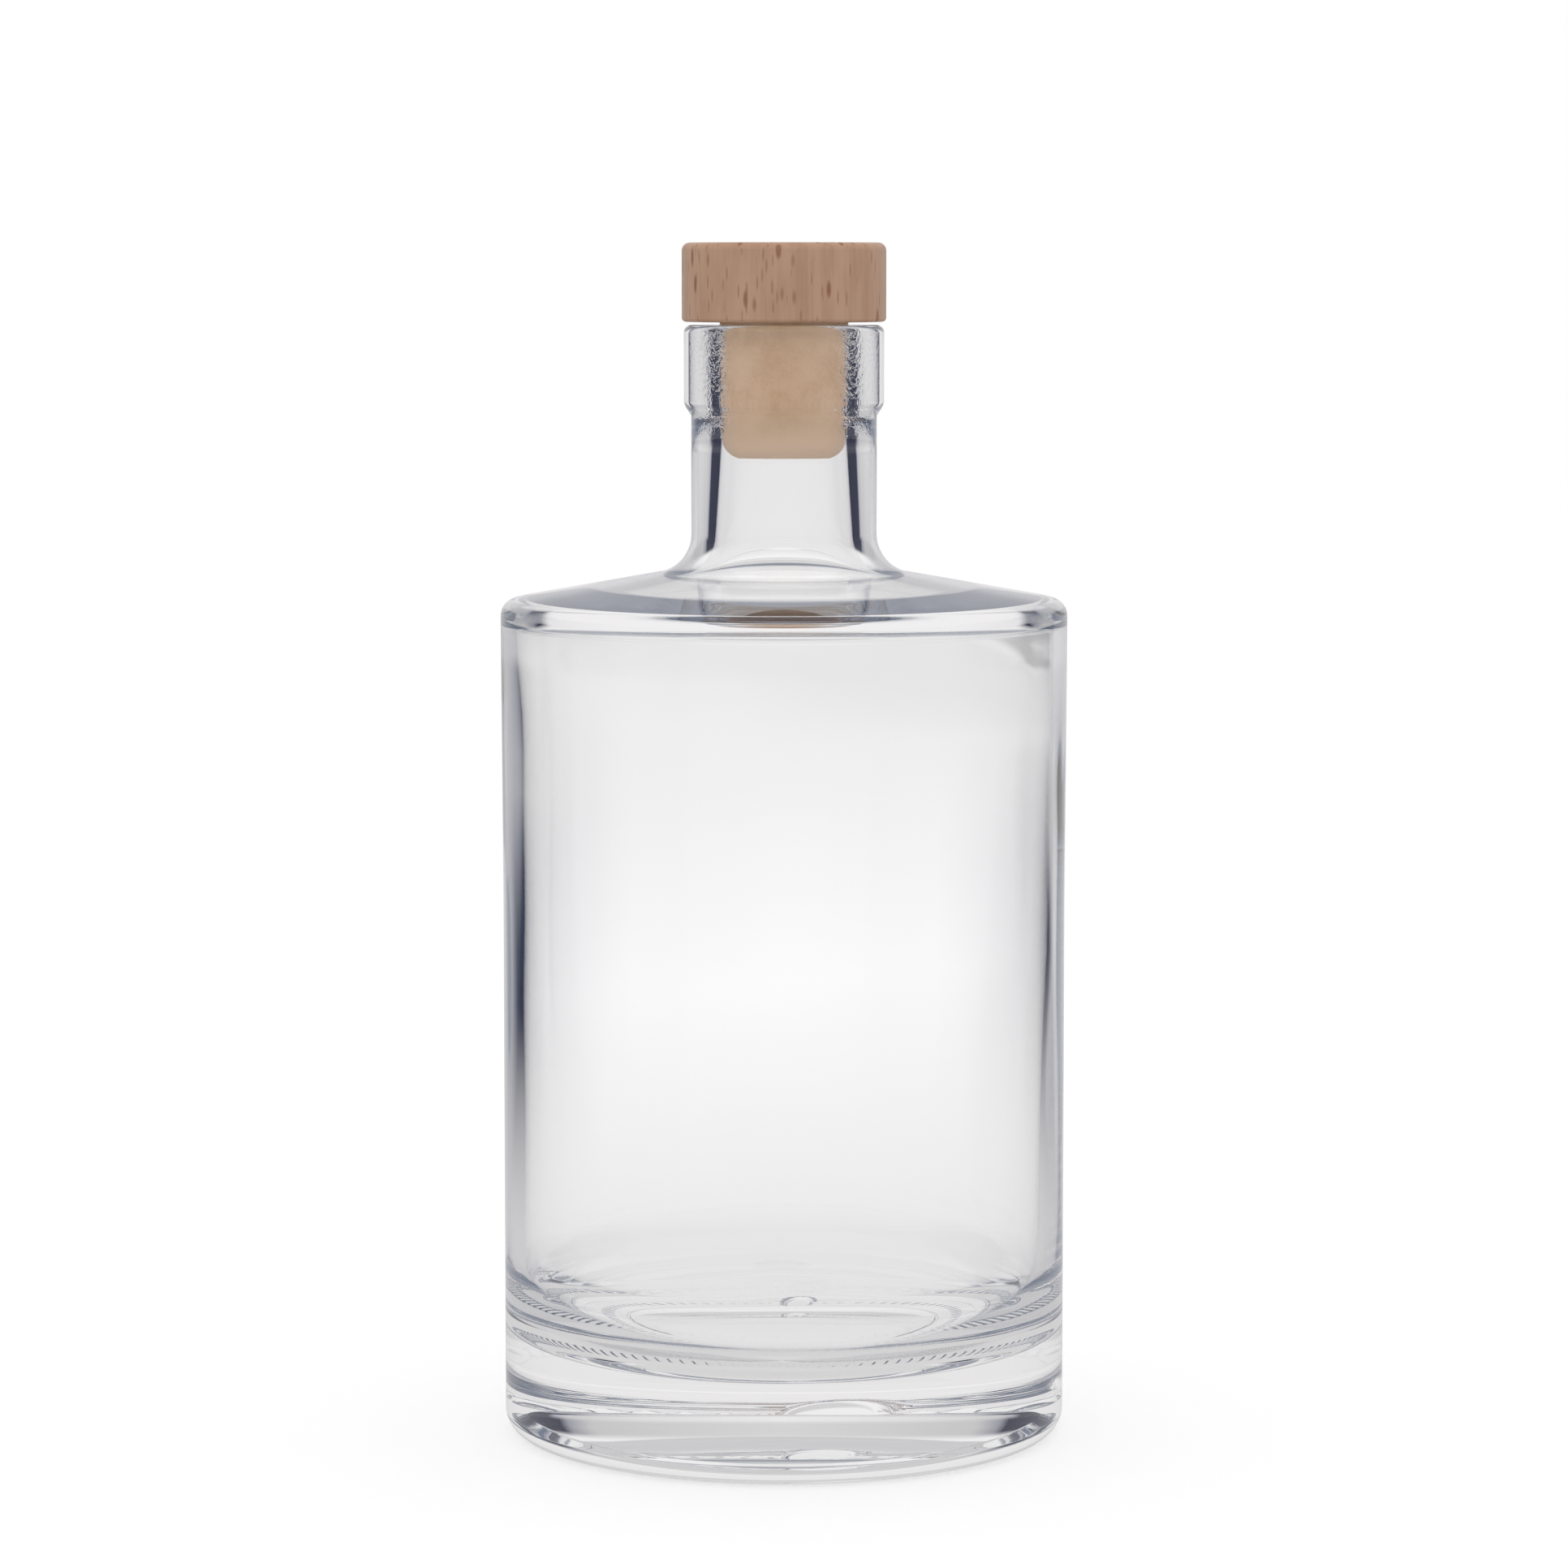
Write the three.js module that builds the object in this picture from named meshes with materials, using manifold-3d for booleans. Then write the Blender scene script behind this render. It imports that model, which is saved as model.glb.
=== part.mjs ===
// A squat round bottle of clear glass with a short ringed neck, closed by a bar-top stopper:
// a turned wooden head glued on a synthetic-cork shank that is squeezed in the bore.
// Millimetres, +Z up. The origin is the centre of the ring that the bottle stands on.

import * as THREE from "three";
import { mergeVertices } from "three/addons/utils/BufferGeometryUtils.js";
import Module from "manifold-3d";

// Bottle, outside
const BOTTLE_HEIGHT = 164.8; // standing ring to rim
const BODY_DIAMETER = 83.4; // the straight lower side
const SHOULDER_DIAMETER = 83.84; // the fullest width, at the top of the side
const STRAIGHT_HEIGHT = 80; // where the side starts to widen towards the shoulder
const SHOULDER_HEIGHT = 124.1; // where the lines of side and shoulder meet
const SHOULDER_SLOPE = 10.3; // degrees that the shoulder falls from the level
const SHOULDER_RADIUS = 2.4;
const NECK_DIAMETER = 27.4;
const NECK_ROOT_RADIUS = 5.8;
const HEEL_RADIUS = 3.6;

// Ring at the mouth
const RING_DIAMETER = 29.5;
const RING_HEIGHT = 13.3; // from its underside to the rim
const RING_BEVEL = 1.6; // height of the slanted underside
const RING_BEVEL_RADIUS = 2;
const RIM_OUTER_RADIUS = 1.1;
const RIM_INNER_RADIUS = 0.6;

// Bottle, inside
const BORE_DIAMETER = 18.5; // the standard size for this kind of stopper
const BORE_LENGTH = 17; // the parallel stretch, from the rim down
const THROAT_DIAMETER = 21.2; // where the bore has widened, at the foot of the neck
const SHOULDER_WALL = 2.6; // near the neck
const INNER_ROOT_RADIUS = 8.9;
const CEILING_RADIUS = 29; // from the axis to where the ceiling flattens
const CEILING_SLOPE = 4.5; // degrees that the ceiling falls beyond that
const INNER_SHOULDER_RADIUS = 3.5;
const UPPER_WALL = 2.1; // wall of the side under the shoulder
const LOWER_WALL = 3.3; // wall of the side above the floor
const FLOOR_HEIGHT = 13; // standing ring to inner floor
const FLOOR_CORNER_RADIUS = 14;

// Underside
const STANDING_RING_WIDTH = 12;
const STANDING_RING_RADIUS = 0.8;
const PUSH_STEP = 1.3; // height of the steep edge of the hollow
const PUSH_UP = 3.4; // height of the hollow in the underside

// Arched groove through the standing ring, by which a machine turns the bottle to its front
const NOTCH_WIDTH = 6.4;
const NOTCH_HEIGHT = 1.6;
const NOTCH_LENGTH = 10; // half of it
const NOTCH_RADIUS = 34; // from the axis to its middle
const NOTCH_TURN = 5; // degrees from the back, +Y, towards +X

// Stopper
const HEAD_DIAMETER = 30.1;
const HEAD_HEIGHT = 11.6;
const HEAD_TOP_RADIUS = 1.2;
const HEAD_BOTTOM_RADIUS = 0.6;
const HEAD_GAP = 0.45; // between the rim and the head's underside
const RECESS_DEPTH = 3;
const RECESS_GAP = 0.3; // glue line round the shank in the recess
const SHANK_DIAMETER = 19.1; // where nothing squeezes it
const SHANK_LENGTH = 19.8; // below the head
const SHANK_SQUEEZE_CLEARANCE = 0.1; // between the squeezed shank and the bore
const SHANK_END_INSET = 2.4; // how far the end face is narrower, all round
const SHANK_END_LIP = 0.85; // height above the end face where the lines of end and side meet
const SHANK_END_RADIUS = 3.6;

// Facets
const SEGMENTS = 60; // round the axis
const ARC_STEP = 18; // most degrees of turn between two points of an arc
const DOME_STEPS = 6; // rings in the hollow of the underside
const NOTCH_SEGMENTS = 16; // round the notch's arch

const DEGREE = Math.PI / 180;

// One corner of an outline: its distance from the axis, its height and the radius that rounds it.
function corner(radius, height, rounding = 0) {
  return { point: new THREE.Vector2(radius, height), rounding };
}

// Half the angle between the two sides that meet in corner i.
function halfAngle(corners, i) {
  const back = corners[i - 1].point.clone().sub(corners[i].point);
  const ahead = corners[i + 1].point.clone().sub(corners[i].point);
  return Math.abs(back.angleTo(ahead)) / 2;
}

// How far from corner i its arc starts when its sides have the room.
function wantedReach(corners, i) {
  return corners[i].rounding > 0 ? corners[i].rounding / Math.tan(halfAngle(corners, i)) : 0;
}

// The share of its wanted reach that corner i gets on the side towards corner j.
function shareOfSide(corners, i, j) {
  const length = corners[i].point.distanceTo(corners[j].point);
  return Math.min(1, length / (wantedReach(corners, i) + wantedReach(corners, j)));
}

// The arc that rounds corner i, from the side it comes from to the side it leaves by.
function cornerArc(corners, i) {
  const at = corners[i].point;
  const share = Math.min(shareOfSide(corners, i, i - 1), shareOfSide(corners, i, i + 1));
  const reach = wantedReach(corners, i) * share;
  const start = corners[i - 1].point.clone().sub(at).setLength(reach);
  const end = corners[i + 1].point.clone().sub(at).setLength(reach);
  const centre = start.clone().add(end).setLength(reach / Math.cos(halfAngle(corners, i)));
  const from = start.sub(centre);
  const turn = end.sub(centre).angle() - from.angle();
  const sweep = Math.atan2(Math.sin(turn), Math.cos(turn));
  const steps = Math.max(1, Math.ceil(Math.abs(sweep) / (ARC_STEP * DEGREE)));
  return Array.from({ length: steps + 1 }, (_, k) =>
    from.clone().rotateAround(new THREE.Vector2(), (sweep * k) / steps).add(centre).add(at),
  );
}

// The points of an outline, with every corner that has a rounding turned into an arc.
function outline(corners) {
  return corners.flatMap((c, i) => (c.rounding > 0 ? cornerArc(corners, i) : [c.point]));
}

// A solid of revolution round Z from an outline that starts and ends on the axis.
function turned(points) {
  return new THREE.LatheGeometry(points, SEGMENTS).rotateX(Math.PI / 2);
}

const wasm = await Module();
wasm.setup();

// A closed geometry as a solid that can be cut.
function solidOf(geometry) {
  const bare = geometry.clone();
  bare.deleteAttribute("normal");
  bare.deleteAttribute("uv");
  const merged = mergeVertices(bare);
  return new wasm.Manifold(
    new wasm.Mesh({
      numProp: 3,
      vertProperties: merged.getAttribute("position").array,
      triVerts: merged.index.array,
    }),
  );
}

function geometryOf(solid) {
  const mesh = solid.getMesh();
  return new THREE.BufferGeometry()
    .setAttribute("position", new THREE.BufferAttribute(mesh.vertProperties, mesh.numProp))
    .setIndex(new THREE.BufferAttribute(mesh.triVerts, 1));
}

// The point on the shoulder's outer slope at a distance from the axis, and its height.
function shoulderHeightAt(radius) {
  return SHOULDER_HEIGHT + (SHOULDER_DIAMETER / 2 - radius) * Math.tan(SHOULDER_SLOPE * DEGREE);
}

// The shallow dome in the underside, from its centre to the inner edge of the standing ring.
function undersideDome(edgeRadius) {
  return Array.from({ length: DOME_STEPS }, (_, i) => {
    const share = i / DOME_STEPS;
    return corner(share * edgeRadius, PUSH_UP - (PUSH_UP - PUSH_STEP) * share * share);
  });
}

function bottleOutside() {
  const side = BODY_DIAMETER / 2;
  const shoulder = SHOULDER_DIAMETER / 2;
  const neck = NECK_DIAMETER / 2;
  const ring = RING_DIAMETER / 2;
  const standingInner = side - HEEL_RADIUS - STANDING_RING_WIDTH;
  const ringFoot = BOTTLE_HEIGHT - RING_HEIGHT;
  return [
    ...undersideDome(standingInner - PUSH_STEP),
    corner(standingInner - PUSH_STEP, PUSH_STEP, STANDING_RING_RADIUS),
    corner(standingInner, 0, STANDING_RING_RADIUS),
    corner(side, 0, HEEL_RADIUS),
    corner(side, STRAIGHT_HEIGHT),
    corner(shoulder, shoulderHeightAt(shoulder), SHOULDER_RADIUS),
    corner(neck, shoulderHeightAt(neck), NECK_ROOT_RADIUS),
    corner(neck, ringFoot),
    corner(ring, ringFoot + RING_BEVEL, RING_BEVEL_RADIUS),
    corner(ring, BOTTLE_HEIGHT, RIM_OUTER_RADIUS),
  ];
}

function bottleInside() {
  const bore = BORE_DIAMETER / 2;
  const throat = THROAT_DIAMETER / 2;
  const upperSide = SHOULDER_DIAMETER / 2 - UPPER_WALL;
  const lowerSide = BODY_DIAMETER / 2 - LOWER_WALL;
  const wallDrop = SHOULDER_WALL / Math.cos(SHOULDER_SLOPE * DEGREE);
  const ceiling = shoulderHeightAt(CEILING_RADIUS) - wallDrop;
  const ceilingFall = (upperSide - CEILING_RADIUS) * Math.tan(CEILING_SLOPE * DEGREE);
  return [
    corner(bore, BOTTLE_HEIGHT, RIM_INNER_RADIUS),
    corner(bore, BOTTLE_HEIGHT - BORE_LENGTH),
    corner(throat, shoulderHeightAt(throat) - wallDrop, INNER_ROOT_RADIUS),
    corner(CEILING_RADIUS, ceiling),
    corner(upperSide, ceiling - ceilingFall, INNER_SHOULDER_RADIUS),
    corner(lowerSide, FLOOR_HEIGHT, FLOOR_CORNER_RADIUS),
    corner(0, FLOOR_HEIGHT),
  ];
}

// What is scooped out of the ring: half a flattened ball, centred in the plane under it.
function notchCutter() {
  return new THREE.SphereGeometry(1, NOTCH_SEGMENTS, NOTCH_SEGMENTS / 2)
    .scale(NOTCH_WIDTH / 2, NOTCH_LENGTH, NOTCH_HEIGHT)
    .translate(0, NOTCH_RADIUS, 0)
    .rotateZ(-NOTCH_TURN * DEGREE);
}

function glassBottle() {
  const blank = turned(outline([...bottleOutside(), ...bottleInside()]));
  return geometryOf(solidOf(blank).subtract(solidOf(notchCutter())));
}

const HEAD_UNDERSIDE = BOTTLE_HEIGHT + HEAD_GAP;
const RECESS_TOP = HEAD_UNDERSIDE + RECESS_DEPTH;

function stopperHead() {
  const side = HEAD_DIAMETER / 2;
  const recess = SHANK_DIAMETER / 2 + RECESS_GAP;
  const top = HEAD_UNDERSIDE + HEAD_HEIGHT;
  return turned(
    outline([
      corner(0, RECESS_TOP),
      corner(recess, RECESS_TOP),
      corner(recess, HEAD_UNDERSIDE),
      corner(side, HEAD_UNDERSIDE, HEAD_BOTTOM_RADIUS),
      corner(side, top, HEAD_TOP_RADIUS),
      corner(0, top),
    ]),
  );
}

function stopperShank() {
  const free = SHANK_DIAMETER / 2;
  const squeezed = BORE_DIAMETER / 2 - SHANK_SQUEEZE_CLEARANCE;
  const end = HEAD_UNDERSIDE - SHANK_LENGTH;
  return turned(
    outline([
      corner(0, end),
      corner(squeezed - SHANK_END_INSET, end),
      corner(squeezed, end + SHANK_END_LIP, SHANK_END_RADIUS),
      corner(squeezed, BOTTLE_HEIGHT - RIM_INNER_RADIUS),
      corner(free, HEAD_UNDERSIDE),
      corner(free, RECESS_TOP),
      corner(0, RECESS_TOP),
    ]),
  );
}

const clearGlass = new THREE.MeshStandardMaterial({
  color: 0xe8eeee,
  roughness: 0.03,
  metalness: 0,
  transparent: true,
  opacity: 0.35,
});
const beech = new THREE.MeshStandardMaterial({ color: 0xc9a385, roughness: 0.65, metalness: 0 });
const syntheticCork = new THREE.MeshStandardMaterial({ color: 0xbda387, roughness: 0.8, metalness: 0 });

function piece(name, geometry, material) {
  const mesh = new THREE.Mesh(geometry, material);
  mesh.name = name;
  return mesh;
}

const stopper = new THREE.Group();
stopper.add(piece("stopper_head", stopperHead(), beech));
stopper.add(piece("stopper_shank", stopperShank(), syntheticCork));

const group = new THREE.Group();
group.add(piece("glass_bottle", glassBottle(), clearGlass), stopper);

export default group;
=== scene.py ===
"""A squat round bottle of clear glass, closed by a turned wooden stopper on a synthetic-cork shank.

Every length is in metres and +Z is up. The bottle stands on z = 0, round the Z axis, and is seen along +Y.
"""

import math

import bmesh
import bpy
from bpy.props import FloatProperty, FloatVectorProperty, IntProperty, PointerProperty
from mathutils import Matrix, Vector, noise


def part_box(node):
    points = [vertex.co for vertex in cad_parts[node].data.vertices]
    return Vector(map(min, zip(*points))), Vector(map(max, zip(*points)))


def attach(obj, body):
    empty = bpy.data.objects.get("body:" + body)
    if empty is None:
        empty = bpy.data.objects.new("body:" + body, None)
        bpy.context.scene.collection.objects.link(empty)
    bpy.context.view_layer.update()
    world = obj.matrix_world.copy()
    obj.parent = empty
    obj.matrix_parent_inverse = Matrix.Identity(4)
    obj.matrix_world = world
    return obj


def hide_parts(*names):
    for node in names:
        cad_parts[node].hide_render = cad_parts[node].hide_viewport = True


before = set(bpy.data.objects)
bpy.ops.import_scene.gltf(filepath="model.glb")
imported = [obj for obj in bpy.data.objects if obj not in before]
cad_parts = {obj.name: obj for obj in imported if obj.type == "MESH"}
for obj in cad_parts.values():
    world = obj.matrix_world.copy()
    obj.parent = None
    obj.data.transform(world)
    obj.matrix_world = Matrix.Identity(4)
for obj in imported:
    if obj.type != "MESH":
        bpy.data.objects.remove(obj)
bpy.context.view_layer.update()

bl_info = {
    "name": "Glass bottle with a wooden stopper",
    "version": (1, 0, 0),
    "blender": (4, 5, 0),
    "location": "3D View > Sidebar > Bottle",
    "description": "Builds a clear glass bottle, its wooden stopper and the studio round them",
    "category": "Add Mesh",
}

MM = 0.001
RIM_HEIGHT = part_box("glass_bottle")[1][2]
BOTTLE_WIDTH = 2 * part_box("glass_bottle")[1][0]
HEAD_LOW, HEAD_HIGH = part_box("stopper_head")
SHANK_LOW, SHANK_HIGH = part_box("stopper_shank")


# Properties that a user would change


def length(name, description, millimetres):
    """A length property, whose default is given in millimetres."""
    return FloatProperty(
        name=name,
        description=description,
        default=millimetres * MM,
        unit="LENGTH",
        precision=5,
    )


def colour(name, description, default):
    """A colour property, in linear light."""
    return FloatVectorProperty(
        name=name, description=description, default=default, size=3, subtype="COLOR", min=0, max=1
    )


class GlassProperties(bpy.types.PropertyGroup):
    """Sizes of the glass, most of them as in the solid model."""

    body_width: length("Body width", "Across the straight lower side", 83.4)
    straight_height: length("Straight height", "Where the side starts to widen", 80)
    shoulder_height: length("Shoulder height", "Where the lines of side and shoulder meet", 124.1)
    shoulder_slope: FloatProperty(
        name="Shoulder slope",
        description="How far the shoulder falls from the level",
        default=math.radians(10.3),
        subtype="ANGLE",
    )
    shoulder_radius: length("Shoulder radius", "Outer corner under the shoulder", 2.4)
    neck_width: length("Neck width", "Across the plain neck", 27.4)
    neck_root_radius: length("Neck root radius", "Hollow corner at the foot of the neck", 5.8)
    heel_radius: length("Heel radius", "Corner between side and standing ring", 3.6)
    ring_width: length("Ring width", "Across the ring at the mouth", 29.5)
    ring_height: length("Ring height", "From the ring's underside to the rim", 13.3)
    ring_bevel: length("Ring bevel", "Height of the slanted underside of the ring", 1.6)
    ring_bevel_radius: length("Ring bevel radius", "Rounding above the slanted underside", 2)
    rim_outer_radius: length("Outer rim radius", "Outer edge of the rim", 1.1)
    rim_inner_radius: length("Inner rim radius", "Inner edge of the rim", 0.6)
    bore_width: length("Bore width", "Across the bore at the mouth", 18.5)
    bore_length: length("Bore length", "Parallel stretch of the bore", 17)
    throat_width: length("Throat width", "Across the bore at the foot of the neck", 21.2)
    inner_root_radius: length("Inner root radius", "Bulging corner inside the foot of the neck", 8.9)
    shoulder_wall: length("Shoulder wall", "Thickness of the shoulder near the neck", 2.6)
    ceiling_radius: length("Ceiling radius", "From the axis to where the ceiling flattens", 32)
    ceiling_slope: FloatProperty(
        name="Ceiling slope",
        description="How far the ceiling falls from the level beyond that",
        default=math.radians(4.5),
        subtype="ANGLE",
    )
    inner_shoulder_radius: length("Inner shoulder radius", "Hollow corner inside the shoulder", 2.4)
    upper_wall: length("Upper wall", "Thickness of the side under the shoulder", 2.1)
    lower_wall: length("Lower wall", "Thickness of the side above the floor", 3.3)
    wall_lean: length("Wall lean", "How much thicker one side is than the other above the floor", 1.2)
    wall_ripple: length("Wall ripple", "Unevenness of the blown inner wall", 0.12)
    floor_height: length("Floor height", "Standing ring to inner floor", 13)
    floor_corner_radius: length("Floor corner radius", "Hollow corner round the floor", 14)
    standing_width: length("Standing width", "Width of the standing ring", 12)
    standing_radius: length("Standing radius", "Inner edge of the standing ring", 0.8)
    push_step: length("Push-up step", "Height of the steep edge of the hollow", 1.3)
    knurl_inset: length("Knurl inset", "From the heel's rounding to the bars", 4.8)
    knurl_length: length("Knurl length", "Length of a bar", 3.6)
    push_up: length("Push-up", "Height of the hollow in the underside", 3.4)
    knurls: IntProperty(name="Knurls", description="Bars on the standing ring", default=84)
    knurl_depth: length("Knurl depth", "Depth of the gaps between the bars", 0.5)
    notch_width: length("Notch width", "Across the arched groove through the standing ring", 6.4)
    notch_height: length("Notch height", "Height of the groove's arch", 1.6)
    notch_length: length("Notch length", "Half the groove's length", 10)
    notch_radius: length("Notch radius", "From the axis to the middle of the groove", 34)
    notch_turn: FloatProperty(
        name="Notch turn",
        description="Angle from the back to the notch",
        default=math.radians(5),
        subtype="ANGLE",
    )
    tint: colour("Tint", "What the glass lets through", (0.993, 0.997, 0.995))


class HeadProperties(bpy.types.PropertyGroup):
    """Sizes and colours of the stopper's wooden head."""

    top_radius: length("Top radius", "Rounding of the upper edge", 1.2)
    bottom_radius: length("Bottom radius", "Rounding of the lower edge", 0.6)
    recess_gap: length("Recess gap", "Glue line round the shank", 0.3)
    light_wood: colour("Light wood", "Pale ground of the beech", (0.635, 0.395, 0.26))
    dark_wood: colour("Dark wood", "Darker growth in the beech", (0.53, 0.305, 0.195))
    fleck: colour("Fleck", "Short rays in the beech", (0.27, 0.095, 0.03))
    line: colour("Line", "Fine lines in the beech", (0.36, 0.16, 0.09))


class ShankProperties(bpy.types.PropertyGroup):
    """Sizes and colours of the stopper's squeezed shank."""

    squeeze_clearance: length("Squeeze clearance", "Between the shank and the bore", 0.1)
    end_inset: length("End inset", "How far the end face is narrower all round", 2.4)
    end_lip: length("End lip", "Where the lines of end and side meet", 0.85)
    end_radius: length("End radius", "Rounding of the lower end", 3.6)
    skin: colour("Skin", "Moulded skin of the shank", (0.86, 0.58, 0.37))
    # Also the colour of the painted shade down the middle of the front and back.
    shade: colour("Shade", "Darker clouds in the skin", (0.66, 0.39, 0.19))
    # Painted light: the paler tone painted at the lower end of the shank.
    pale: colour("Pale end", "Paler lower end", (1.0, 0.72, 0.50))


class StudioProperties(bpy.types.PropertyGroup):
    """Where the camera stands and how light the studio is."""

    camera_distance: length("Camera distance", "From the bottle's axis to the eye", 781.3)
    camera_height: length("Camera height", "From the floor to the eye", 173.9)
    camera_pitch: FloatProperty(
        name="Camera pitch",
        description="How far the camera looks down",
        default=math.radians(5.631),
        subtype="ANGLE",
    )
    lens: FloatProperty(name="Lens", description="Focal length", default=121.4, unit="CAMERA")
    floor_radius: length("Floor radius", "Size of the pale floor", 3000)
    floor_colour: colour("Floor colour", "Pale matt floor", (0.6, 0.6, 0.6))
    floor_glow: FloatProperty(
        name="Floor glow", description="Light that the floor adds for the camera", default=0.56
    )


# Drawing outlines and turning them


class Corner:
    """One corner of an outline: distance from the axis, height, the radius that rounds it, and the longest
    step of the line that leads to it."""

    def __init__(self, radius, height, rounding=0.0, step=6 * MM):
        self.at = Vector((radius, 0, height))
        self.rounding = rounding
        self.step = step


class Pen:
    """Draws an outline in the half-plane of +X and Z, edge after edge, from a first vertex."""

    def __init__(self, mesh, start):
        self.mesh = mesh
        self.tip = mesh.verts.new(start)

    def line(self, end, longest):
        """A straight stretch, in steps no longer than asked."""
        start = self.tip.co.copy()
        steps = max(1, math.ceil((end - start).length / longest))
        for step in range(1, steps + 1):
            grown = bmesh.ops.extrude_vert_indiv(self.mesh, verts=[self.tip])
            self.tip = grown["verts"][0]
            self.tip.co = start.lerp(end, step / steps)

    def arc(self, centre, sweep, step_angle):
        """A round stretch about a centre, by an angle about +Y."""
        steps = max(1, math.ceil(abs(sweep) / step_angle))
        turned = bmesh.ops.spin(
            self.mesh, geom=[self.tip], cent=centre, axis=(0, 1, 0), angle=sweep, steps=steps
        )
        self.tip = next(g for g in turned["geom_last"] if isinstance(g, bmesh.types.BMVert))


def reach(corners, i):
    """How far from corner i its arc starts."""
    corner = corners[i]
    if not corner.rounding:
        return 0.0
    back = corners[i - 1].at - corner.at
    ahead = corners[i + 1].at - corner.at
    return corner.rounding / math.tan(back.angle(ahead) / 2)


def draw_outline(mesh, corners, step_angle):
    """Draws an outline whose corners are rounded."""
    pen = Pen(mesh, corners[0].at)
    for i in range(1, len(corners)):
        corner, away = corners[i], reach(corners, i)
        back = (corners[i - 1].at - corner.at).normalized()
        start = corner.at + back * away
        if (start - pen.tip.co).length > 1e-7:
            pen.line(start, corner.step)
        if not away:
            continue
        ahead = (corners[i + 1].at - corner.at).normalized()
        half = back.angle(ahead) / 2
        centre = corner.at + (back + ahead).normalized() * corner.rounding / math.sin(half)
        turn = (start - centre).cross(corner.at + ahead * away - centre).y
        pen.arc(centre, math.copysign(math.pi - 2 * half, turn), step_angle)


def turned_mesh(corners, around, step_angle=math.radians(6)):
    """A bmesh of revolution about Z from an outline that starts and ends on the axis."""
    mesh = bmesh.new()
    draw_outline(mesh, corners, step_angle)
    bmesh.ops.spin(
        mesh,
        geom=mesh.verts[:] + mesh.edges[:],
        cent=(0, 0, 0),
        axis=(0, 0, 1),
        angle=math.tau,
        steps=around,
        use_merge=True,
    )
    bmesh.ops.remove_doubles(mesh, verts=mesh.verts[:], dist=1e-7)
    bmesh.ops.recalc_face_normals(mesh, faces=mesh.faces[:])
    return mesh


def make_object(name, mesh, material):
    """Turns a bmesh into a smooth-shaded object with its place in its mesh."""
    for face in mesh.faces:
        face.smooth = True
    data = bpy.data.meshes.new(name)
    mesh.to_mesh(data)
    mesh.free()
    data.materials.append(material)
    made = bpy.data.objects.new(name, data)
    bpy.context.scene.collection.objects.link(made)
    return made


def smooth_step(low, high, value):
    """0 below low, 1 above high, and smooth between them."""
    share = min(1.0, max(0.0, (value - low) / (high - low)))
    return share * share * (3 - 2 * share)


# Shader maths


class Term:
    """A node's output that the ordinary operators work on."""

    def __init__(self, shader, socket):
        self.shader = shader
        self.socket = socket

    def is_number(self):
        return self.socket.type == "VALUE"

    def join(self, operation, first, second):
        """The result of an operation on two terms or numbers, through Math or Vector Math."""
        plain = all(not isinstance(t, Term) or t.is_number() for t in (first, second))
        kind = "ShaderNodeMath" if plain else "ShaderNodeVectorMath"
        values = {0: first, 1: second}
        if not plain:
            values = {k: (v,) * 3 if isinstance(v, (int, float)) else v for k, v in values.items()}
        return self.shader.node(kind, {"operation": operation}, values)

    def __add__(self, other):
        return self.join("ADD", self, other)

    def __sub__(self, other):
        return self.join("SUBTRACT", self, other)

    def __rsub__(self, other):
        return self.join("SUBTRACT", other, self)

    def __mul__(self, other):
        return self.join("MULTIPLY", self, other)

    def __truediv__(self, other):
        return self.join("DIVIDE", self, other)


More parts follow.
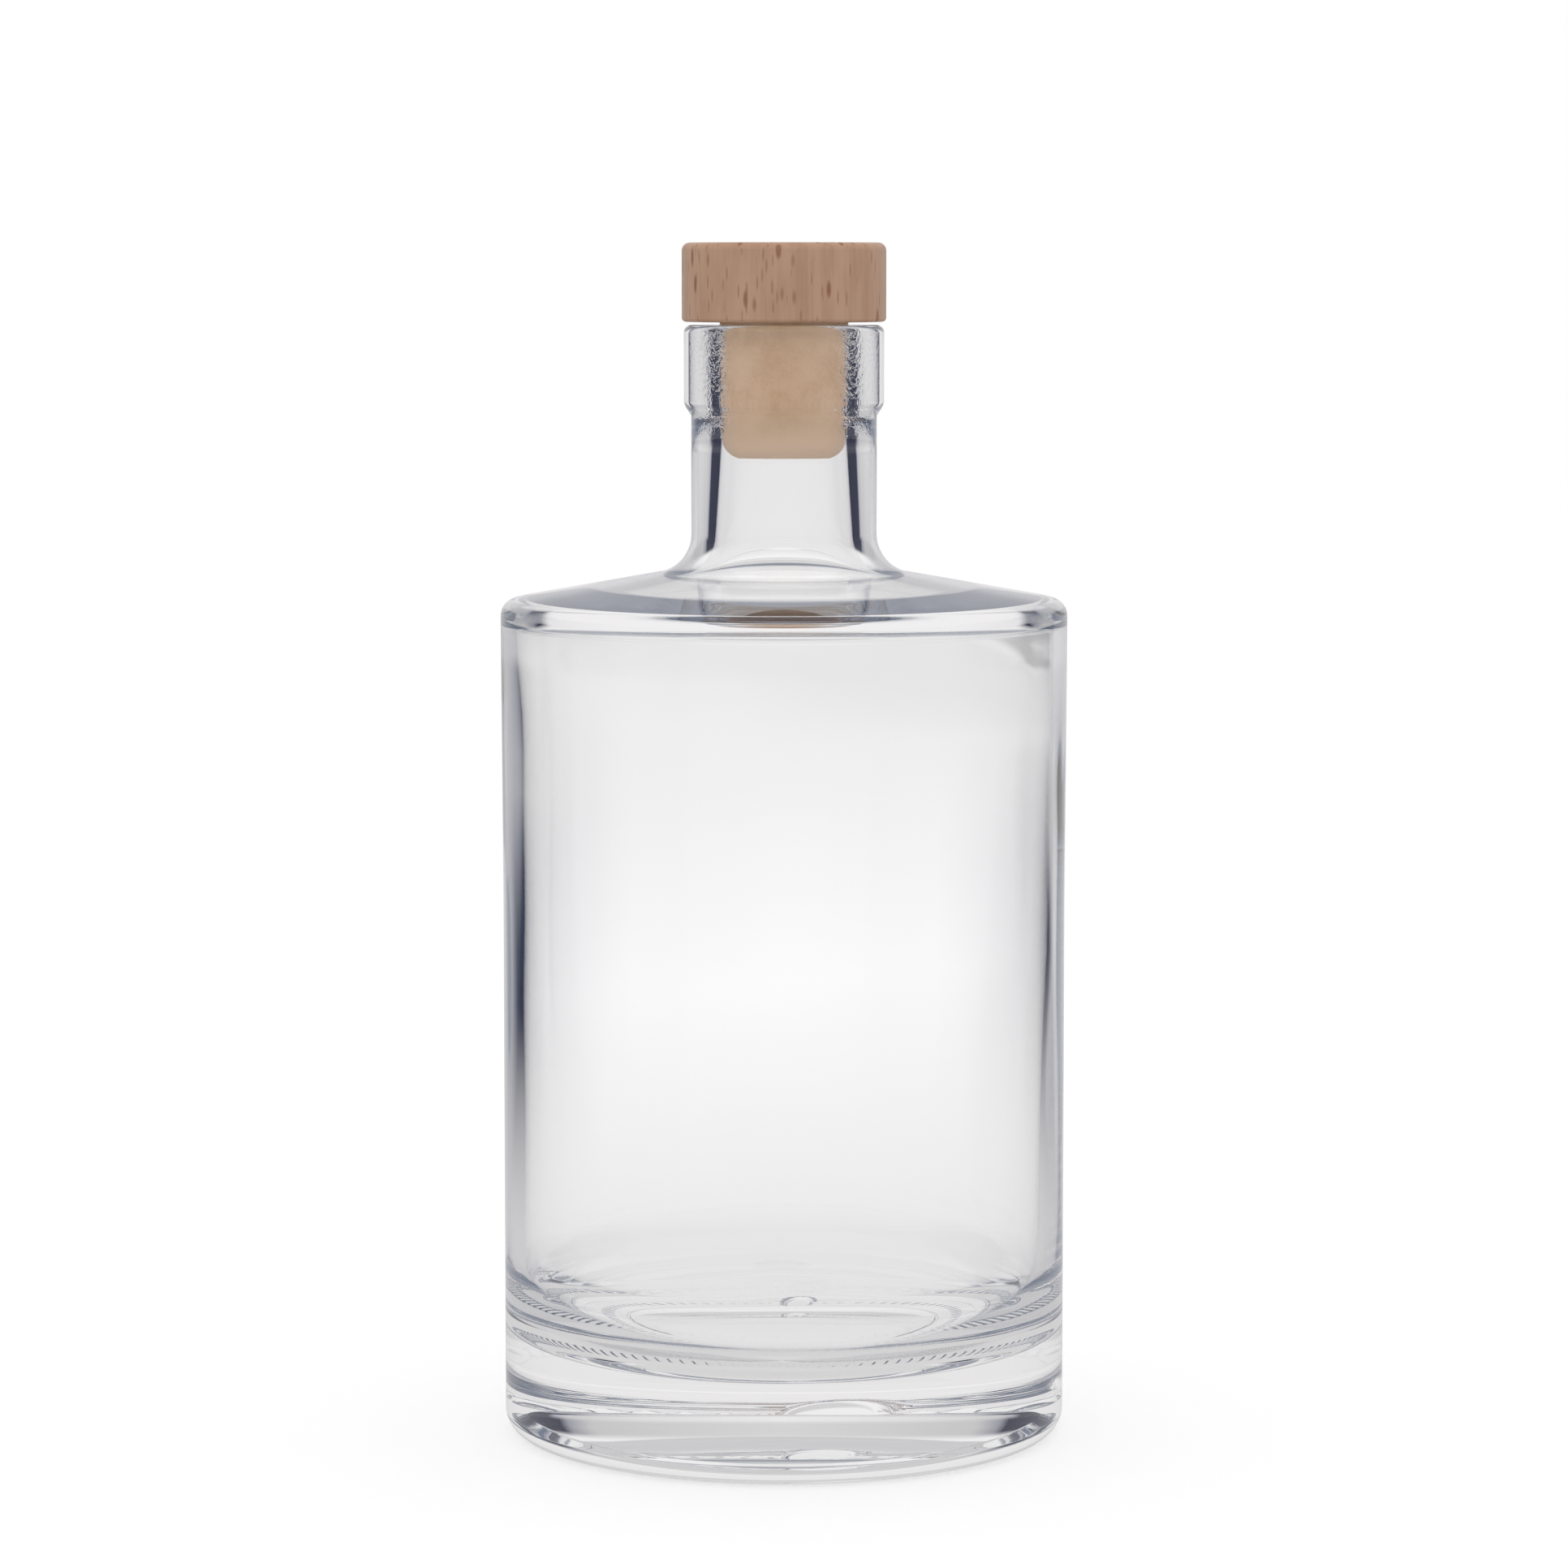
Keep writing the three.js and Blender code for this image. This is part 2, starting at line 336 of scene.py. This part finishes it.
class Shader:
    """The node tree of a material or world, and the one way in which it gets a node."""

    def __init__(self, owner):
        owner.use_nodes = True
        self.tree = owner.node_tree
        self.tree.nodes.clear()

    def node(self, kind, settings=None, inputs=None, output=0):
        """Adds a node, sets it, feeds its sockets with values or terms, and returns one of its outputs."""
        made = self.tree.nodes.new(kind)
        for name, value in (settings or {}).items():
            if name == "stops":
                self.set_stops(made.color_ramp, value)
            else:
                setattr(made, name, value)
        for key, value in (inputs or {}).items():
            if isinstance(value, Term):
                self.tree.links.new(value.socket, made.inputs[key])
            else:
                made.inputs[key].default_value = value
        return Term(self, made.outputs[output]) if made.outputs else made

    @staticmethod
    def set_stops(ramp, stops):
        """Gives a colour ramp its stops, as pairs of position and colour."""
        while len(ramp.elements) < len(stops):
            ramp.elements.new(1)
        for element, (position, shade) in zip(ramp.elements, stops):
            element.position = position
            element.color = (*shade, 1)

    def blend(self, first, second, share):
        """A colour between two, as far as share says."""
        first, second = (c if isinstance(c, Term) else (*c, 1) for c in (first, second))
        sockets = {0: share, 6: first, 7: second}
        return self.node("ShaderNodeMix", {"data_type": "RGBA"}, sockets, output=2)

    def ramp(self, value, low, high):
        """0 where value is under low, 1 over high, smooth between."""
        return self.node(
            "ShaderNodeMapRange",
            {"interpolation_type": "SMOOTHSTEP"},
            {"Value": value, "From Min": low, "From Max": high},
        )

    def apply(self, operation, value, second=0.0):
        """One Math operation that has no sign of its own."""
        return self.node("ShaderNodeMath", {"operation": operation}, {0: value, 1: second})

    def axes(self, vector):
        """The three parts of a vector."""
        first = self.node("ShaderNodeSeparateXYZ", {}, {0: vector})
        return [Term(self, output) for output in first.socket.node.outputs]

    def noise(self, place, scale, detail=2.0, roughness=0.5):
        """A cloudy pattern from 0 to 1 at a place."""
        return self.node(
            "ShaderNodeTexNoise",
            {},
            {"Vector": place, "Scale": scale, "Detail": detail, "Roughness": roughness},
        )

    def place(self, stretch=(1, 1, 1), shift=(0, 0, 0)):
        """Object coordinates, stretched and shifted."""
        here = self.node("ShaderNodeTexCoord", output="Object")
        return self.node(
            "ShaderNodeMapping", {}, {"Vector": here, "Scale": stretch, "Location": shift}
        )

    def flecks(self, place, scale, size, rarity):
        """1 in small spots round scattered points of a grid, of which only some are used."""
        cells = {"Vector": place, "Scale": scale, "Randomness": 0.9}
        distance = self.node("ShaderNodeTexVoronoi", {}, cells, output="Distance")
        choice = self.axes(self.node("ShaderNodeTexVoronoi", {}, cells, output="Color"))
        used = self.apply("GREATER_THAN", choice[0], rarity)
        return (1 - self.ramp(distance, size * 0.55, size * 1.2)) * used


# Glass


def shoulder_height_at(glass, radius):
    """Height of the shoulder's outer slope at a distance from the axis."""
    return glass.shoulder_height + (BOTTLE_WIDTH / 2 - radius) * math.tan(glass.shoulder_slope)


def outside_corners(glass):
    """The outline of the glass from the middle of its underside to the outer edge of the rim."""
    side, shoulder, neck = glass.body_width / 2, BOTTLE_WIDTH / 2, glass.neck_width / 2
    ring = glass.ring_width / 2
    standing_inner = side - glass.heel_radius - glass.standing_width
    ring_foot = RIM_HEIGHT - glass.ring_height
    dome_steps = 9
    edge = standing_inner - glass.push_step
    rise = glass.push_up - glass.push_step
    dome = [
        Corner(edge * i / dome_steps, glass.push_up - rise * (i / dome_steps) ** 2)
        for i in range(dome_steps)
    ]
    return dome + [
        Corner(edge, glass.push_step, glass.standing_radius),
        Corner(standing_inner, 0, glass.standing_radius),
        Corner(side, 0, glass.heel_radius, step=0.45 * MM),
        Corner(side, glass.straight_height),
        Corner(shoulder, glass.shoulder_height, glass.shoulder_radius),
        Corner(neck, shoulder_height_at(glass, neck), glass.neck_root_radius),
        Corner(neck, ring_foot),
        Corner(ring, ring_foot + glass.ring_bevel, glass.ring_bevel_radius),
        Corner(ring, RIM_HEIGHT, glass.rim_outer_radius),
    ]


def inside_corners(glass):
    """The outline of the glass from the inner edge of the rim to the middle of its floor."""
    bore, throat = glass.bore_width / 2, glass.throat_width / 2
    upper_side = BOTTLE_WIDTH / 2 - glass.upper_wall
    lower_side = glass.body_width / 2 - glass.lower_wall
    wall_drop = glass.shoulder_wall / math.cos(glass.shoulder_slope)
    ceiling = shoulder_height_at(glass, glass.ceiling_radius) - wall_drop
    ceiling_fall = (upper_side - glass.ceiling_radius) * math.tan(glass.ceiling_slope)
    return [
        Corner(bore, RIM_HEIGHT, glass.rim_inner_radius),
        Corner(bore, RIM_HEIGHT - glass.bore_length),
        Corner(throat, shoulder_height_at(glass, throat) - wall_drop, glass.inner_root_radius),
        Corner(glass.ceiling_radius, ceiling),
        Corner(upper_side, ceiling - ceiling_fall, glass.inner_shoulder_radius),
        Corner(lower_side, glass.floor_height, glass.floor_corner_radius),
        Corner(0, glass.floor_height),
    ]


def press_knurls(mesh, glass):
    """Presses radial gaps into the standing ring, so that bars are left between them."""
    outer = glass.body_width / 2 - glass.heel_radius - glass.knurl_inset
    inner = outer - glass.knurl_length
    for vertex in mesh.verts:
        radius = vertex.co.xy.length
        if vertex.co.z > 0.05 * MM or not inner < radius < outer:
            continue
        across = smooth_step(inner, inner + 0.8 * MM, radius)
        across *= 1 - smooth_step(outer - 0.8 * MM, outer, radius)
        angle = math.atan2(vertex.co.y, vertex.co.x)
        bar = smooth_step(-0.6, 0.6, math.cos(angle * glass.knurls))
        vertex.co.z += glass.knurl_depth * across * (1 - bar)


def press_notch(mesh, glass):
    """Presses the arched groove through the standing ring: what lies under its roof moves up to it."""
    unturn = Matrix.Rotation(glass.notch_turn, 3, "Z")
    for vertex in mesh.verts:
        if vertex.co.z > glass.notch_height:
            continue
        here = unturn @ vertex.co
        across = here.x / (glass.notch_width / 2)
        along = (here.y - glass.notch_radius) / glass.notch_length
        room = 1 - across**2 - along**2
        if room > 0:
            vertex.co.z = max(vertex.co.z, glass.notch_height * math.sqrt(room))


def lean_and_ripple(mesh, glass):
    """Makes the blown inner wall a little uneven, and thicker low on one side."""
    low, high = glass.floor_height, glass.shoulder_height
    bore = glass.throat_width / 2
    for vertex in mesh.verts:
        here = vertex.co
        radius = here.xy.length
        outer = glass.body_width / 2 + smooth_step(glass.straight_height, high, here.z) * 0.2 * MM
        inside = bore + 4 * MM < radius < outer - MM and low < here.z < high - 2 * MM
        if not inside:
            continue
        free = smooth_step(low, low + 12 * MM, here.z)
        free *= 1 - smooth_step(high - 22 * MM, high - 6 * MM, here.z)
        here.x += free * glass.wall_lean * (here.z - 0.6 * high) / high
        wave = noise.noise(Vector((here.x * 60, here.y * 60, here.z * 18)))
        fine = noise.noise(Vector((here.x * 160, here.y * 160, here.z * 40 + 7)))
        out = here.xy.normalized() * free * glass.wall_ripple * (wave + 0.4 * fine)
        here.x += out.x
        here.y += out.y


def glass_material(glass):
    """Clear glass with a faint tint, slightly grained where it grips the stopper."""
    material = bpy.data.materials.new("clear_glass")
    shader = Shader(material)
    here = shader.place()
    x, y, z = shader.axes(here)
    radius = shader.apply("SQRT", x * x + y * y)
    bore = 1 - shader.ramp(radius, glass.bore_width / 2 + 0.2 * MM, glass.bore_width / 2 + 0.5 * MM)
    grip = bore * shader.ramp(z, RIM_HEIGHT - glass.bore_length, RIM_HEIGHT - glass.bore_length + 3 * MM)
    grain = shader.noise(here, 1500.0, 2.0) * grip
    relief = shader.node(
        "ShaderNodeBump", {}, {"Height": grain, "Strength": 0.8, "Distance": 0.09 * MM}
    )
    surface = shader.node(
        "ShaderNodeBsdfPrincipled",
        {},
        {
            "Base Color": (*glass.tint, 1),
            "Roughness": 0.0,
            "IOR": 1.52,
            "Transmission Weight": 1.0,
            "Normal": relief,
        },
    )
    shader.node("ShaderNodeOutputMaterial", {}, {"Surface": surface})
    return material


class BOTTLE_OT_glass(bpy.types.Operator):
    """Make the bottle's glass"""

    bl_idname = "bottle.glass"
    bl_label = "Glass"

    def execute(self, context):
        glass = context.scene.bottle_glass
        mesh = turned_mesh(outside_corners(glass) + inside_corners(glass), around=5 * glass.knurls)
        lean_and_ripple(mesh, glass)
        press_knurls(mesh, glass)
        press_notch(mesh, glass)
        made = make_object("clear_glass_bottle", mesh, glass_material(glass))
        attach(made, "bottle")
        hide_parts("glass_bottle")
        return {"FINISHED"}


# Stopper


def beech_material(head):
    """Beech with its grain along Z: short flecks on the side, dots and rings on the end grain."""
    material = bpy.data.materials.new("turned_beech")
    shader = Shader(material)
    bend = shader.noise(shader.place(stretch=(1, 1, 0.3)), 90.0, 2.0) * (3 * MM)
    x, y, _ = shader.axes(shader.place(shift=(0.031, 0.052, 0)))
    rings = shader.apply("SINE", (shader.apply("SQRT", x * x + y * y) + bend) * (math.tau / (3.4 * MM)))
    fibre = shader.noise(shader.place(stretch=(1, 1, 0.06)), 1500.0, 3.0, 0.65)
    cloud = shader.noise(shader.place(stretch=(1, 1, 0.35)), 170.0, 3.0, 0.55)
    ground = shader.ramp(cloud * 0.55 + fibre * 0.35 + rings * 0.05, 0.3, 0.62)
    wood = shader.blend(head.light_wood, head.dark_wood, ground)
    wobble = shader.noise(shader.place(stretch=(1, 1, 0.2)), 900.0, 1.0) * 0.25
    lenses = shader.flecks(shader.place(stretch=(1, 1, 0.3), shift=(0.4, 0.1, 0.3)), 560.0, 0.26, 0.5)
    lines = shader.flecks(shader.place(stretch=(1, 1, 0.16), shift=(0.9, 0.2, 0.7)), 1400.0, 0.26, 0.35)
    wood = shader.blend(wood, head.line, lines * 0.55)
    wood = shader.blend(wood, head.fleck, lenses * (0.85 - wobble))
    relief = shader.node(
        "ShaderNodeBump", {}, {"Height": fibre - lenses * 0.4, "Strength": 0.25, "Distance": 0.1 * MM}
    )
    surface = shader.node(
        "ShaderNodeBsdfPrincipled",
        {},
        {
            "Base Color": wood,
            "Roughness": 0.62,
            "Sheen Weight": 0.3,
            "Sheen Roughness": 0.35,
            "Normal": relief,
        },
    )
    shader.node("ShaderNodeOutputMaterial", {}, {"Surface": surface})
    return material


class BOTTLE_OT_stopper_head(bpy.types.Operator):
    """Turn the stopper's wooden head"""

    bl_idname = "bottle.stopper_head"
    bl_label = "Stopper head"

    def execute(self, context):
        head = context.scene.bottle_head
        side, top, underside = HEAD_HIGH[0], HEAD_HIGH[2], HEAD_LOW[2]
        recess, recess_top = SHANK_HIGH[0] + head.recess_gap, SHANK_HIGH[2]
        corners = [
            Corner(0, recess_top),
            Corner(recess, recess_top),
            Corner(recess, underside),
            Corner(side, underside, head.bottom_radius),
            Corner(side, top, head.top_radius),
            Corner(0, top),
        ]
        made = make_object("turned_head", turned_mesh(corners, around=192), beech_material(head))
        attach(made, "stopper")
        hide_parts("stopper_head")
        return {"FINISHED"}


def cork_material(shank):
    """Matt synthetic cork with soft clouds, painted shade down the middle of its front and back, and painted
    light at its lower end.
    """
    material = bpy.data.materials.new("synthetic_cork")
    shader = Shader(material)
    here = shader.place()
    clouds = shader.noise(here, 260.0, 3.0, 0.6)
    foam = shader.noise(here, 2600.0, 2.0)
    x, _, z = shader.axes(here)
    # Painted shade: darker in a strip down the middle of the front and back, so that the sides read lighter.
    painted_middle_shade = 1 - shader.ramp(shader.apply("ABSOLUTE", x + (clouds - 0.5) * (3 * MM)), 0.0, 5 * MM)
    # The darker clouds are the skin's own tone; the strip down the middle adds painted shade to the same
    # mask.
    shade = shader.ramp(clouds + (foam - 0.5) * 0.3, 0.35, 0.8) * 0.6 + painted_middle_shade * 0.4
    skin = shader.blend(shank.skin, shank.shade, shade)
    # Painted light: the skin turns paler towards its lower end, as if more light fell there.
    end = 1 - shader.ramp(z, SHANK_LOW[2], SHANK_LOW[2] + 8 * MM)
    skin = shader.blend(skin, shank.pale, end)
    relief = shader.node("ShaderNodeBump", {}, {"Height": foam, "Strength": 0.2, "Distance": 0.1 * MM})
    surface = shader.node(
        "ShaderNodeBsdfPrincipled", {}, {"Base Color": skin, "Roughness": 0.7, "Normal": relief}
    )
    shader.node("ShaderNodeOutputMaterial", {}, {"Surface": surface})
    return material


class BOTTLE_OT_stopper_shank(bpy.types.Operator):
    """Mould the stopper's squeezed shank"""

    bl_idname = "bottle.stopper_shank"
    bl_label = "Stopper shank"

    def execute(self, context):
        glass, shank = context.scene.bottle_glass, context.scene.bottle_shank
        free, end, top = SHANK_HIGH[0], SHANK_LOW[2], SHANK_HIGH[2]
        squeezed = glass.bore_width / 2 - shank.squeeze_clearance
        corners = [
            Corner(0, end),
            Corner(squeezed - shank.end_inset, end),
            Corner(squeezed, end + shank.end_lip, shank.end_radius),
            Corner(squeezed, RIM_HEIGHT - glass.rim_inner_radius),
            Corner(free, HEAD_LOW[2]),
            Corner(free, top),
            Corner(0, top),
        ]
        made = make_object("cork_shank", turned_mesh(corners, around=128), cork_material(shank))
        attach(made, "stopper")
        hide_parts("stopper_shank")
        return {"FINISHED"}


# Studio


def mirrored_tone(shader, vector, stops):
    """Tone of what the glass mirrors in a horizontal direction: the stops' behind the bottle, with tall dark
    flags at both sides, and an even one in front of it."""
    x, y, _ = shader.axes(vector)
    turn = shader.apply("ARCTANGENT", x / y)
    stops = [(0.5 + degrees / 180, tone) for degrees, tone in stops]
    behind = shader.node("ShaderNodeValToRGB", {"stops": stops}, {"Fac": turn / math.pi + 0.5})
    front = 1 - shader.ramp(y / shader.apply("SQRT", x * x + y * y), -0.35, 0.0)
    return shader.blend(behind, FRONT_TONE, front * 0.85)


def glass_backdrop(shader, through, mirrored, deep):
    """Tone behind the glass: one for light that goes straight through it, another for what is mirrored in it,
    and a deep one for light that was mirrored often."""
    times = shader.node("ShaderNodeLightPath", output="Glossy Depth")
    mirrored = shader.blend(mirrored, deep, shader.ramp(times, 1.5, 4.0) * 0.95)
    return shader.blend(through, mirrored, shader.apply("GREATER_THAN", times, 0.5))


def grey(level):
    """A faintly pink light grey."""
    return (level, level * 0.982, level * 0.99)


def slate(level):
    """A bluish dark grey."""
    return (level, level * 1.02, level * 1.18)


INK = (0.015, 0.016, 0.042)
FRONT_TONE = grey(0.82)
CLOSE_TONE = grey(0.66)
DEEP_TONE = (0.11, 0.14, 0.205)
ROOM_LIGHT = (0.8, 0.8, 0.8)
LIGHT_THROUGH_GLASS = (1.15, 1.15, 1.15)

LEVEL_TONES = [
    (-90, slate(0.34)), (-68, slate(0.25)), (-64, INK), (-44, INK), (-41, slate(0.42)), (-37, grey(0.58)),
    (-30, grey(0.66)), (-20, grey(0.74)), (0, grey(0.84)), (20, grey(0.74)), (30, grey(0.66)),
    (37, grey(0.58)), (41, slate(0.42)), (44, INK), (64, INK), (68, slate(0.25)), (90, slate(0.34)),
]

RISING_TONES = [
    (-90, slate(0.34)), (-68, slate(0.25)), (-64, INK), (-40, INK), (-37, slate(0.30)), (-30, grey(0.58)),
    (0, grey(0.68)), (30, grey(0.58)), (37, slate(0.30)), (40, INK), (64, INK), (68, slate(0.25)),
    (90, slate(0.34)),
]

LOW_TONES = [
    (-90, slate(0.36)), (-71, slate(0.30)), (-67, INK), (-39, INK), (-36, slate(0.2)), (-32, slate(0.35)),
    (-24, grey(0.55)), (-14, grey(0.75)), (-4, grey(0.88)), (8, grey(0.88)), (16, grey(0.84)),
    (24, grey(0.82)), (34, grey(0.78)), (38, grey(0.64)), (41, INK), (67, INK), (71, slate(0.30)),
    (90, slate(0.36)),
]

FLOOR_TONES = [
    (0.0, grey(0.79)), (0.05, grey(0.81)), (0.10, grey(0.84)), (0.14, grey(0.88)), (0.19, grey(0.912)),
    (0.30, grey(0.97)), (0.445, grey(1.03)), (0.63, grey(0.98)), (0.884, grey(0.935)), (1.05, grey(0.92)),
    (1.24, grey(0.87)), (1.40, grey(0.845)), (1.80, grey(0.83)), (1.95, grey(0.95)), (2.25, grey(0.95)),
    (2.5, grey(0.85)),
]


def studio_world():
    """White behind the bottle, greyer through its glass, and an even soft light on the rest."""
    world = bpy.data.worlds.new("studio")
    bpy.context.scene.world = world
    shader = Shader(world)
    direction = shader.node("ShaderNodeTexCoord", output="Generated")
    _, _, z = shader.axes(direction)
    level = mirrored_tone(shader, direction, LEVEL_TONES)
    rising = mirrored_tone(shader, direction, RISING_TONES)
    mirrored = shader.blend(level, rising, shader.ramp(z, 0.12, 0.22))
    mirrored = shader.blend(mirrored, grey(0.9), shader.ramp(z, 0.38, 0.48))
    deep = shader.blend(DEEP_TONE, grey(0.82), shader.ramp(z, 0.25, 0.55))
    behind = glass_backdrop(shader, grey(0.83), mirrored, deep)
    camera = shader.node("ShaderNodeLightPath", output="Is Camera Ray")
    seen = shader.blend(behind, (1.0, 1.0, 1.0), camera)
    backdrop = shader.node("ShaderNodeBackground", {}, {"Color": seen, "Strength": 1.0})
    scattered = shader.node("ShaderNodeLightPath", output="Diffuse Depth")
    lit = shader.apply("GREATER_THAN", scattered, 0.5)
    passed = shader.node("ShaderNodeLightPath", output="Is Transmission Ray")
    room = shader.blend(ROOM_LIGHT, LIGHT_THROUGH_GLASS, passed)
    light = shader.node("ShaderNodeBackground", {}, {"Color": room, "Strength": 1.0})
    both = shader.node("ShaderNodeMixShader", {}, {0: lit, 1: backdrop, 2: light})
    shader.node("ShaderNodeOutputWorld", {}, {"Surface": both})


def floor_material(studio):
    """A pale floor, white to the camera with the bottle's shadow on it, and the backdrop to the glass."""
    material = bpy.data.materials.new("pale_floor")
    shader = Shader(material)
    here = shader.place()
    x, y, _ = shader.axes(here)
    farthest = FLOOR_TONES[-1][0]
    distance = shader.apply("SQRT", x * x + y * y)
    share = distance / farthest
    stops = [(place / farthest, tone) for place, tone in FLOOR_TONES]
    through = shader.node("ShaderNodeValToRGB", {"stops": stops}, {"Fac": share})
    close = 1 - shader.ramp(distance, 0.16, 0.46)
    aside = shader.ramp(shader.apply("ABSOLUTE", x), 0.04, 0.13)
    aside *= shader.ramp(distance, 1.88, 2.0) * (1 - shader.ramp(distance, 2.1, 2.3))
    through = shader.blend(through, grey(0.60), aside)
    far = shader.ramp(distance, 0.7, 1.25) * (1 - shader.ramp(distance, 1.8, 2.3))
    mirrored = mirrored_tone(shader, here, LOW_TONES)
    mirrored = shader.blend(mirrored, CLOSE_TONE, close + far * 0.8)
    behind = glass_backdrop(shader, through, mirrored, DEEP_TONE)
    tone = shader.node("ShaderNodeEmission", {}, {"Color": behind, "Strength": 1.0})
    matt = shader.node(
        "ShaderNodeBsdfDiffuse", {}, {"Color": (*studio.floor_colour, 1), "Roughness": 0.0}
    )
    camera = shader.node("ShaderNodeLightPath", output="Is Camera Ray")
    shone = shader.blend((0.0, 0.0, 0.0), (1.0, 1.0, 1.0), camera)
    glow = shader.node("ShaderNodeEmission", {}, {"Color": shone, "Strength": studio.floor_glow})
    plain = shader.node("ShaderNodeAddShader", {}, {0: matt, 1: glow})
    glossy = shader.node("ShaderNodeLightPath", output="Is Glossy Ray")
    passed = shader.node("ShaderNodeLightPath", output="Is Transmission Ray")
    glassy = shader.apply("MAXIMUM", glossy, passed)
    both = shader.node("ShaderNodeMixShader", {}, {0: glassy, 1: plain, 2: tone})
    shader.node("ShaderNodeOutputMaterial", {}, {"Surface": both})
    return material


def make_floor(studio):
    """A large pale disc under the bottle."""
    mesh = bmesh.new()
    bmesh.ops.create_circle(mesh, cap_ends=True, segments=96, radius=studio.floor_radius)
    floor = make_object("studio_floor", mesh, floor_material(studio))


def make_camera(studio):
    """A camera in front of the bottle that looks a little down."""
    camera = bpy.data.objects.new("camera", bpy.data.cameras.new("camera"))
    camera.data.lens = studio.lens
    camera.data.sensor_width = 36
    camera.location = (0, -studio.camera_distance, studio.camera_height)
    camera.rotation_euler = (math.pi / 2 - studio.camera_pitch, 0, 0)
    camera.data.clip_start = 0.01
    camera.data.clip_end = 100
    bpy.context.scene.collection.objects.link(camera)
    bpy.context.scene.camera = camera


class BOTTLE_OT_studio(bpy.types.Operator):
    """Set up the floor, the world and the camera"""

    bl_idname = "bottle.studio"
    bl_label = "Studio"

    def execute(self, context):
        studio = context.scene.bottle_studio
        scene = context.scene
        scene.view_settings.view_transform = "Standard"
        scene.cycles.max_bounces = 64
        scene.cycles.glossy_bounces = 48
        scene.cycles.transmission_bounces = 48
        studio_world()
        make_floor(studio)
        make_camera(studio)
        return {"FINISHED"}


class BOTTLE_PT_panel(bpy.types.Panel):
    """Lists what can be made"""

    bl_idname = "BOTTLE_PT_panel"
    bl_label = "Bottle"
    bl_space_type = "VIEW_3D"
    bl_region_type = "UI"
    bl_category = "Bottle"

    def draw(self, context):
        for operator in OPERATORS:
            self.layout.operator(operator.bl_idname)


OPERATORS = (BOTTLE_OT_glass, BOTTLE_OT_stopper_head, BOTTLE_OT_stopper_shank, BOTTLE_OT_studio)
GROUPS = {
    "bottle_glass": GlassProperties,
    "bottle_head": HeadProperties,
    "bottle_shank": ShankProperties,
    "bottle_studio": StudioProperties,
}


def register():
    """Makes the properties, operators and panel known to Blender."""
    for name, group in GROUPS.items():
        bpy.utils.register_class(group)
        setattr(bpy.types.Scene, name, PointerProperty(type=group))
    for operator in OPERATORS:
        bpy.utils.register_class(operator)
    bpy.utils.register_class(BOTTLE_PT_panel)


def unregister():
    """Takes them away again."""
    bpy.utils.unregister_class(BOTTLE_PT_panel)
    for operator in reversed(OPERATORS):
        bpy.utils.unregister_class(operator)
    for name, group in reversed(GROUPS.items()):
        delattr(bpy.types.Scene, name)
        bpy.utils.unregister_class(group)


def main():
    """Makes the whole bottle and its studio."""
    register()
    bpy.ops.bottle.studio()
    bpy.ops.bottle.glass()
    bpy.ops.bottle.stopper_head()
    bpy.ops.bottle.stopper_shank()


if __name__ == "__main__":
    main()
